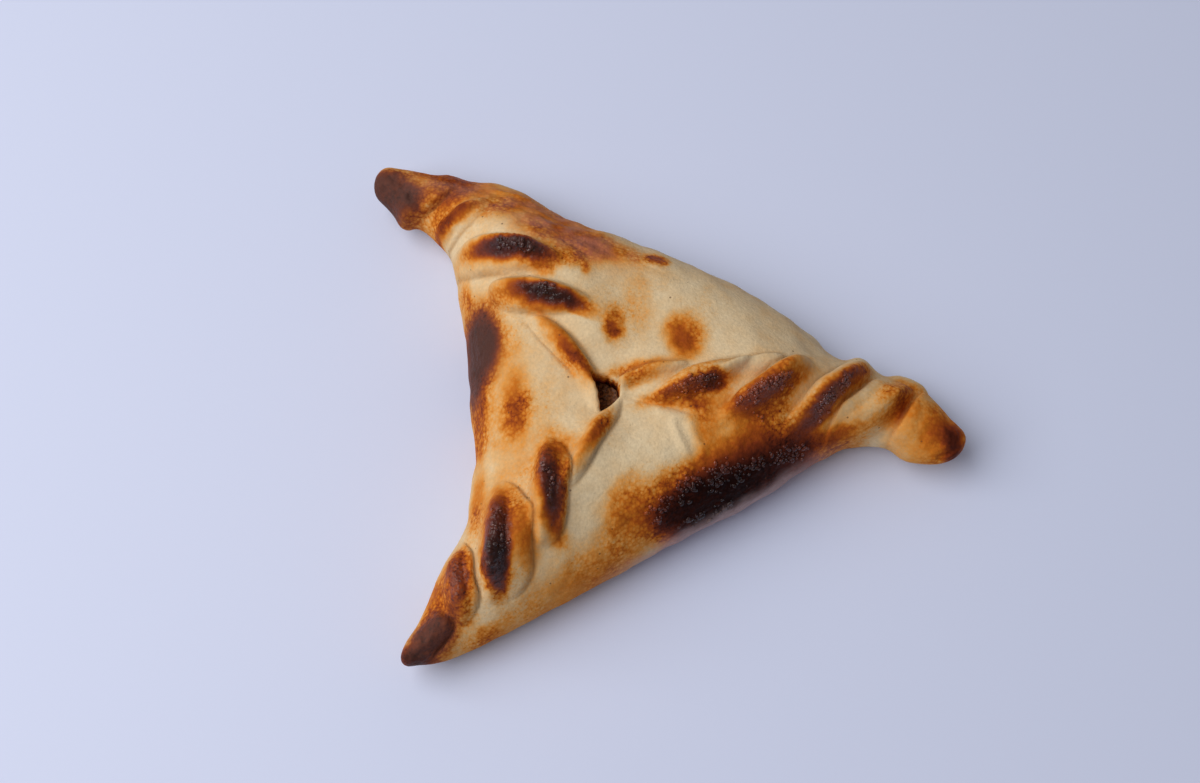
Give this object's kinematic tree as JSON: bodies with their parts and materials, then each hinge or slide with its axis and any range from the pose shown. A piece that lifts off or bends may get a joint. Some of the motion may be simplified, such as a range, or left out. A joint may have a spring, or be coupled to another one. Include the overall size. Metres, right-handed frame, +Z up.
{
  "type": "sfiha",
  "caption": "Three-cornered baked meat pie, closed by overlapping pinched pleats, with a small open hole at the middle and a flat base to lie on.",
  "frame": {"origin": "centre of the bounding box at its bottom, on the surface that the pie lies on", "axes": "+Z up; +X towards the right-hand corner, along the longest side of the box; +Y away from the viewer"},
  "size_m": [0.1255, 0.1114, 0.0301],
  "materials": {
    "crust": "baked dough, pale cream to golden brown, charred on the pleats and corners",
    "filling": "cooked minced meat, dark brown, slightly greasy"
  },
  "bodies": {
    "root": {"crust": "crust", "filling": "filling"}
  },
  "joints": []
}
